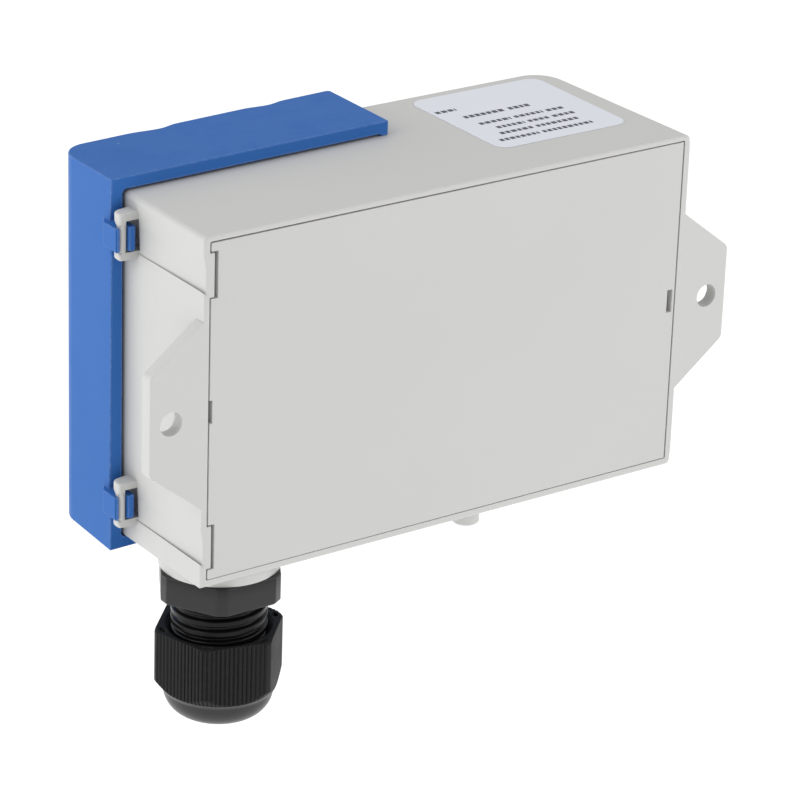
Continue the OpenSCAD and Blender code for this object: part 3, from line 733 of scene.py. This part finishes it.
for dz in LOOPS:
    run_out(bm, 30.0 + dz)
for v in bm.verts:
    p = v.co / MM
    for dz in LOOPS:
        if HW - 0.52 < p.x < HW - 0.08 and p.y > -22.1:
            # the ledge at the lower end of a side channel falls inwards, as a fine crease
            if near(p.z, 23.4 + dz, 0.02):
                v.co.z -= 0.62 * (HW - p.x) * MM
        # the upper lug tapers towards the bar
        r = math.hypot(p.x - 56.55, p.y + 22.9)
        if near(p.z, 29.05 + dz, 0.02) and p.x > HW + 0.5 and r > 0.87:
            k = (0.85 + (r - 0.85) * 0.4) / r
            v.co.x = (56.55 + (p.x - 56.55) * k) * MM
            v.co.y = (-22.9 + (p.y + 22.9) * k) * MM
bmesh.ops.remove_doubles(bm, verts=bm.verts, dist=2e-6)
# the back face is divided at plain places, away from the corners of the recess
back = [f for f in bm.faces if f.normal.y > 0.99 and abs(f.calc_center_median().y) < 0.01 * MM]
for z in (18.15, -18.15):
    geo = list({x for f in back if f.is_valid for x in (*f.verts, *f.edges)}) + [f for f in back if f.is_valid]
    cut = bmesh.ops.bisect_plane(bm, geom=geo, plane_co=(0, 0, z * MM), plane_no=(0, 0, 1))
    back = [f for f in bm.faces if f.normal.y > 0.99 and abs(f.calc_center_median().y) < 0.01 * MM]
seams = [e for e in bm.edges if len(e.link_faces) == 2 and all(f.normal.y > 0.99 for f in e.link_faces)
         and max(abs(v.co.y) for v in e.verts) < 0.01 * MM and min(abs(v.co.z) for v in e.verts) > 18.1 * MM
         and not (near(abs(e.verts[0].co.z) / MM, 18.15, 0.02) and near(abs(e.verts[1].co.z) / MM, 18.15, 0.02))]
print("seams", [[[round(c / MM, 2) for c in v.co] for v in e.verts] for e in seams])
bmesh.ops.dissolve_edges(bm, edges=seams, use_verts=False, use_face_split=False)


def level(a, b):
    return abs(a.z) > HH - 0.03 and abs(b.z) > HH - 0.03 and near(a.z, b.z)


def at_back(a, b):
    return near(a.y, 0) and near(b.y, 0)


def outline(p):
    """A point of the back face's outer edge, off the ears."""
    return abs(p.x) < HW + 0.03 and (abs(p.x) > HW - 1.07 and abs(p.z) > 18.3 or abs(p.z) > HH - 0.6) \
        and not near(abs(p.x), HW - 1.25, 0.06)


rims = (22.5, 31.4)
counts = [
    # long outer edges of the top, and of the bottom on the plain side
    bevel_where(bm, lambda a, b: level(a, b) and not at_back(a, b)
                and (max(a.x, b.x) < -4.4 or min(a.x, b.x) > 50.9 and a.z > 0), 1.05, 6),
    bevel_where(bm, lambda a, b: at_back(a, b) and outline(a) and outline(b), 0.40, 4),
    # lugs of the cover's loops
    bevel_where(bm, lambda a, b: min(a.x, b.x) > HW + 0.3 and max(a.y, b.y) < -21.9 and min(a.y, b.y) > -25.2
                and near(a.z, b.z) and min(abs(a.z + 52.4 * k - q) for k in (0, 1) for q in rims) < 0.03
                and math.hypot(a.x - 56.55, a.y + 22.9) > 0.9, 0.42, 4),
]
counts.append(tidy_bevel(bm, 0.13, 2))
print("housing edges rounded", counts)
housing = new_object("housing_shell", to_mesh(bm, "housing_shell"), "housing_grey", "root", ["housing"])
even_normals(housing)

bm = node_bmesh("back_plate")
for v in bm.verts:
    p = v.co / MM
    if p.z < -31.9 and p.y > -1.3:
        v.co.z -= 0.060 * min(1.0, max(0.0, (p.x + 52) / 104)) * MM
    if p.z > 31.9 and p.y > -1.3:
        v.co.z += 0.060 * min(1.0, max(0.0, (52 - p.x) / 104)) * MM
print("plate edges", tidy_bevel(bm, 0.14, 2))
plate = new_object("plate_moulding", to_mesh(bm, "plate_moulding"), "plate_grey", "root", ["back_plate"])
even_normals(plate)

bm = node_bmesh("cover", 0.5)
n = bevel_where(bm, lambda a, b: near(a.x, 54.3, 0.05) and near(b.x, 54.3, 0.05) and abs(a.z) > 34.0 and near(a.z, b.z), 1.2, 5)
print("cover edges", n, tidy_bevel(bm, 0.22, 3))
cover = new_object("cover_moulding", to_mesh(bm, "cover_moulding", 30), "cover_blue", "cover", ["cover"])
even_normals(cover)

body = new_object("gland_body_visual", gland_body_mesh(), "gland_black", "root", ["gland_body"])
body.data.materials.append(MAT["thread_shaded_black"])
nut = new_object("gland_nut_visual", nut_mesh(), "nut_black", "gland_nut", ["gland_nut"])
nut.data.materials.append(MAT["dome_black"])

# label: thin film, blank but for generic bars
def label():
    bm = bmesh.new()
    pts = []
    x0, x1, y0, y1, r = -47.7, -17.7, -41.1, -11.1, 2.7
    for cx, cy, a0 in ((x1 - r, y1 - r, 0), (x0 + r, y1 - r, 90), (x0 + r, y0 + r, 180), (x1 - r, y0 + r, 270)):
        for q in range(9):
            a = math.radians(a0 + 90 * q / 8)
            pts.append((cx + r * math.cos(a), cy + r * math.sin(a)))
    rows = [[bm.verts.new((x * MM, y * MM, z * MM)) for x, y in pts] for z in (HH + 0.005, HH + 0.13)]
    n = len(pts)
    for k in range(n):
        bm.faces.new((rows[0][k], rows[0][(k + 1) % n], rows[1][(k + 1) % n], rows[1][k]))
    bm.faces.new(rows[1])
    bm.faces.new(list(reversed(rows[0])))
    film = new_object("label_sheet", to_mesh(bm, "label_sheet"), "label_film", "root", ["label"])
    add_bevel(film, 0.03, 1)
    # printed bars: rows of short blocks, like greeked text
    rnd = random.Random(7)
    bm = bmesh.new()
    def words(y, x_start, widths, h):
        x = x_start
        for w in widths:
            if w > 0:
                t = x
                while t < x + w - 0.25:
                    c = min(rnd.uniform(0.75, 1.15), x + w - t)
                    box_bm(bm, (-(t + c), y - h / 2, HH + 0.128), (-t, y + h / 2, HH + 0.142))
                    t += c + 0.34
            x += abs(w) + 0.9
    words(-14.9, 20.3, (9.0, 11.5), 1.15)
    words(-18.0, 22.6, (7.5, 9.6), 1.15)
    words(-21.0, 24.0, (6.4, 4.8, 5.2), 1.15)
    words(-24.2, 22.3, (7.2, 6.6, 4.3), 1.15)
    words(-28.6, 21.9, (9.4, 5.0), 1.3)
    words(-33.2, 18.6, (4.6,), 1.15)
    new_object("label_bars", to_mesh(bm, "label_bars"), "label_print", "root")
label()

# soft tubes between the pressure cell and the spigots
def tube_mesh(name, a, b, ro=2.5, ri=1.66, steps=64, n=48):
    def at(t):
        u = min(1.0, max(0.0, (t - 0.2) / 0.65))
        u = u * u * (3 - 2 * u)
        return Vector((a[0] + (b[0] - a[0]) * u, a[1] + (b[1] - a[1]) * u, a[2] + (b[2] - a[2]) * t))

    def loop(i, r):
        t = i / steps
        d = (at(min(1, t + 0.004)) - at(max(0, t - 0.004))).normalized()
        u = d.cross(Vector((0, 1, 0))).normalized()
        w = d.cross(u)
        return [tuple(at(t) + r * (math.cos(2 * math.pi * k / n) * u + math.sin(2 * math.pi * k / n) * w))
                for k in range(n)]

    def outer(i):
        # a little wider where the tube is pushed over a port
        t = i / steps
        return ro + 0.06 * (1 - sstep(0.07, 0.13, t)) + 0.06 * sstep(0.84, 0.90, t)

    rings = [loop(0, ri), loop(0, ro - 0.12)] + [loop(0.25, outer(0))] + [loop(i, outer(i)) for i in range(1, steps)] \
        + [loop(steps - 0.25, outer(steps)), loop(steps, ro - 0.12), loop(steps, ri)] \
        + [loop(i, ri) for i in range(steps - 4, 0, -4)]
    return ring_mesh(name, rings, 50, True)


for name, px, sy in (("tube_rear", -22.7, -18.0), ("tube_front", -15.7, -33.2)):
    new_object(name + "_visual", tube_mesh(name + "_visual", (px, -14.4, 1.8), (-18.25, sy, -28.3)),
               "silicone_clear", "root", [name])


# small parts on the board, in view when the cover is open
def chips():
    parts = {"ceramic": bmesh.new(), "component_black": bmesh.new(), "solder": bmesh.new(),
             "silk": bmesh.new(), "gold_pad": bmesh.new()}
    f = PCB_F

    def chip(x, z, kind, upright=False, l=2.0, w=1.25, h=0.55):
        if upright:
            a, b = (x - w / 2, z - l / 2), (x + w / 2, z + l / 2)
        else:
            a, b = (x - l / 2, z - w / 2), (x + l / 2, z + w / 2)
        c = 0.34
        box_bm(parts[kind], (a[0] + (0 if upright else c), f - h, a[1] + (c if upright else 0)),
               (b[0] - (0 if upright else c), f - 0.06, b[1] - (c if upright else 0)), 0.06, 2)
        for s in (0, 1):
            if upright:
                z0 = a[1] - 0.05 if s == 0 else b[1] - c
                lo, hi = (a[0] - 0.02, f - h - 0.02, z0), (b[0] + 0.02, f - 0.02, z0 + c + 0.05)
                g0, g1 = (a[0] - 0.12, f - 0.07, z0 - 0.35 * (1 - s)), (b[0] + 0.12, f - 0.005, z0 + c + 0.05 + 0.35 * s)
            else:
                x0 = a[0] - 0.05 if s == 0 else b[0] - c
                lo, hi = (x0, f - h - 0.02, a[1] - 0.02), (x0 + c + 0.05, f - 0.02, b[1] + 0.02)
                g0, g1 = (x0 - 0.35 * (1 - s), f - 0.07, a[1] - 0.12), (x0 + c + 0.05 + 0.35 * s, f - 0.005, b[1] + 0.12)
            box_bm(parts["solder"], lo, hi, 0.08, 2)
            box_bm(parts["solder"], g0, g1, 0.025, 1)

    for x, z, kind, up in ((3.6, -6.6, "ceramic", False), (7.0, -6.6, "component_black", False),
                           (10.4, -6.6, "component_black", False), (3.4, 8.6, "component_black", True),
                           (6.1, 8.6, "ceramic", True), (8.8, 8.6, "component_black", True),
                           (11.5, 8.6, "ceramic", True), (14.4, 14.2, "ceramic", True),
                           (14.4, 17.8, "component_black", True), (3.2, -20.8, "component_black", False),
                           (6.6, -20.8, "component_black", False), (10.2, -20.8, "ceramic", False),
                           (13.4, -8.3, "ceramic", True), (20.3, 23.0, "ceramic", False),
                           (16.6, 23.0, "component_black", False), (14.6, 0.6, "component_black", True)):
        chip(x, z, kind, up)
    # vias and test points
    for x, z, r in ((2.6, 1.0, 0.45), (2.6, 3.2, 0.45), (2.6, -1.2, 0.45), (13.2, 11.6, 0.3), (12.9, 21.3, 0.3),
                    (2.4, 12.0, 0.3), (2.4, 22.5, 0.7), (6.0, 22.8, 0.7), (9.6, 22.8, 0.7), (13.9, -22.6, 0.3),
                    (2.3, -11.0, 0.3), (2.3, -15.5, 0.3), (14.9, 9.9, 0.3), (25.9, 11.6, 0.3), (25.9, -9.4, 0.3)):
        m = Matrix.Translation(Vector((x, f - 0.02, z)) * MM) @ Matrix.Rotation(math.pi / 2, 4, "X")
        bmesh.ops.create_cone(parts["gold_pad"], cap_ends=True, segments=24, radius1=r * MM,
                              radius2=r * 0.94 * MM, depth=0.03 * MM, matrix=m)

    def frame_lines(x0, z0, x1, z1, t=0.16):
        for lo, hi in (((x0, z0), (x1, z0 + t)), ((x0, z1 - t), (x1, z1)),
                       ((x0, z0 + t), (x0 + t, z1 - t)), ((x1 - t, z0 + t), (x1, z1 - t))):
            box_bm(parts["silk"], (lo[0], f - 0.02, lo[1]), (hi[0], f + 0.002, hi[1]))

    frame_lines(16.1, -8.3, 26.1, 8.3)
    frame_lines(3.7, 12.4, 12.3, 19.6)
    frame_lines(14.5, -20.1, 25.5, -10.3)
    frame_lines(16.3, 10.0, 24.3, 21.2)
    for k in range(40):
        a = 2 * math.pi * k / 40
        x, z = 8.2 + 4.5 * math.cos(a), -14 + 4.5 * math.sin(a)
        box_bm(parts["silk"], (x - 0.2, f - 0.02, z - 0.2), (x + 0.2, f + 0.002, z + 0.2))
    for mat, bm in parts.items():
        new_object("board_" + mat, to_mesh(bm, "board_" + mat, 40), mat, "root")


chips()


# bare end of the capacitor's can, scored in three
def can_top():
    bm = bmesh.new()
    y0, y1 = -19.8 - 0.16, -19.8 + 0.05
    for q in range(3):
        a0, a1 = math.radians(120 * q + 90 + 3), math.radians(120 * q + 210 - 3)
        pts = [(0.30 * math.cos((a0 + a1) / 2), 0.30 * math.sin((a0 + a1) / 2))]
        pts += [(3.25 * math.cos(a0 + (a1 - a0) * i / 20), 3.25 * math.sin(a0 + (a1 - a0) * i / 20)) for i in range(21)]
        lo = [bm.verts.new(((8.2 + x) * MM, y1 * MM, (-14 + z) * MM)) for x, z in pts]
        hi = [bm.verts.new(((8.2 + x * 0.985) * MM, y0 * MM, (-14 + z * 0.985) * MM)) for x, z in pts]
        n = len(pts)
        for k in range(n):
            bm.faces.new((lo[k], lo[(k + 1) % n], hi[(k + 1) % n], hi[k]))
        bm.faces.new(hi)
        bm.faces.new(list(reversed(lo)))
    new_object("capacitor_end", to_mesh(bm, "capacitor_end", 30), "capacitor_top", "root")


can_top()

# CAD nodes that stay as they are, with their materials
KEEP = {
    "cover_gasket": ("black_rubber", 0.15), "circuit_board": ("board_green", 0.0),
    "board_screws": ("screw_steel", 0.12), "sensor_cell": ("component_black", 0.2),
    "microcontroller": ("component_black", 0.04), "voltage_regulator": ("component_black", 0.12),
    "bridge_rectifier": ("component_black", 0.12), "smoothing_capacitor": ("capacitor_sleeve", 0.1),
    "terminal_block": ("terminal_green", 0.14), "terminal_contacts": ("contact_brass", 0.08),
    "terminal_screw_1": ("screw_steel", 0.1), "terminal_screw_2": ("screw_steel", 0.1),
    "terminal_screw_3": ("screw_steel", 0.1), "wire_clamp_1": ("screw_steel", 0.12),
    "wire_clamp_2": ("screw_steel", 0.12), "wire_clamp_3": ("screw_steel", 0.12),
    "zero_switch": ("component_black", 0.12), "zero_button": ("button_red", 0.2),
    "hose_spigot_rear": ("spigot_grey", 0.12), "hose_spigot_front": ("spigot_grey", 0.12),
    "spigot_orings": ("black_rubber", 0.0), "gland_oring": ("black_rubber", 0.1),
    "gland_seal": ("black_rubber", 0.2), "gland_washer": ("washer_grey", 0.12),
}
for name, (mat, bev) in KEEP.items():
    ob = NODES[name]
    use(ob, mat)
    if bev:
        d = ob.modifiers.new("flat", "DECIMATE")
        d.decimate_type = "DISSOLVE"
        d.angle_limit = math.radians(1.0)
        add_bevel(ob, bev, 2)

# ----------------------------------------------------------- floor, lights
FLOOR_Z = CAD_BOX[0][2] - 0.15
me = bpy.data.meshes.new("floor")
s = 6.0
me.from_pydata([(-s, -s, FLOOR_Z), (s, -s, FLOOR_Z), (s, s, FLOOR_Z), (-s, s, FLOOR_Z)], [], [(0, 1, 2, 3)])
floor = bpy.data.objects.new("floor", me)
me.materials.append(floor_mat())
scene.collection.objects.link(floor)

world = bpy.data.worlds.new("studio")
scene.world = world
world.use_nodes = True
world.node_tree.nodes["Background"].inputs[0].default_value = (1, 1, 1, 1)
world.node_tree.nodes["Background"].inputs[1].default_value = 0.50


def area(name, loc, look, size, power, colour=(1, 1, 1)):
    l = bpy.data.lights.new(name, "AREA")
    l.shape = "RECTANGLE"
    l.size, l.size_y = size
    l.energy = power
    l.color = colour
    o = bpy.data.objects.new(name, l)
    scene.collection.objects.link(o)
    o.location = loc
    o.rotation_mode = "QUATERNION"
    o.rotation_quaternion = (Vector(look) - Vector(loc)).to_track_quat("-Z", "Y")


area("key", (0.75, -0.05, 0.45), (0, 0, 0), (0.6, 0.6), 1.9)
area("side", (0.75, -0.85, 0.12), (0, 0, 0), (0.6, 0.5), 1.5)
area("fill", (-0.40, 0.45, 0.30), (0, 0, 0), (0.5, 0.35), 1.13)
area("overhead", (0.05, -0.05, 1.0), (0, 0, 0), (0.9, 0.9), 1.6)
area("front", (0.3, -0.9, 0.15), (0, 0, 0), (0.8, 0.7), 0.8)

scene.view_settings.view_transform = "Standard"
scene.view_settings.look = "None"
scene.view_settings.exposure = 0.0
scene.view_settings.gamma = 1.0
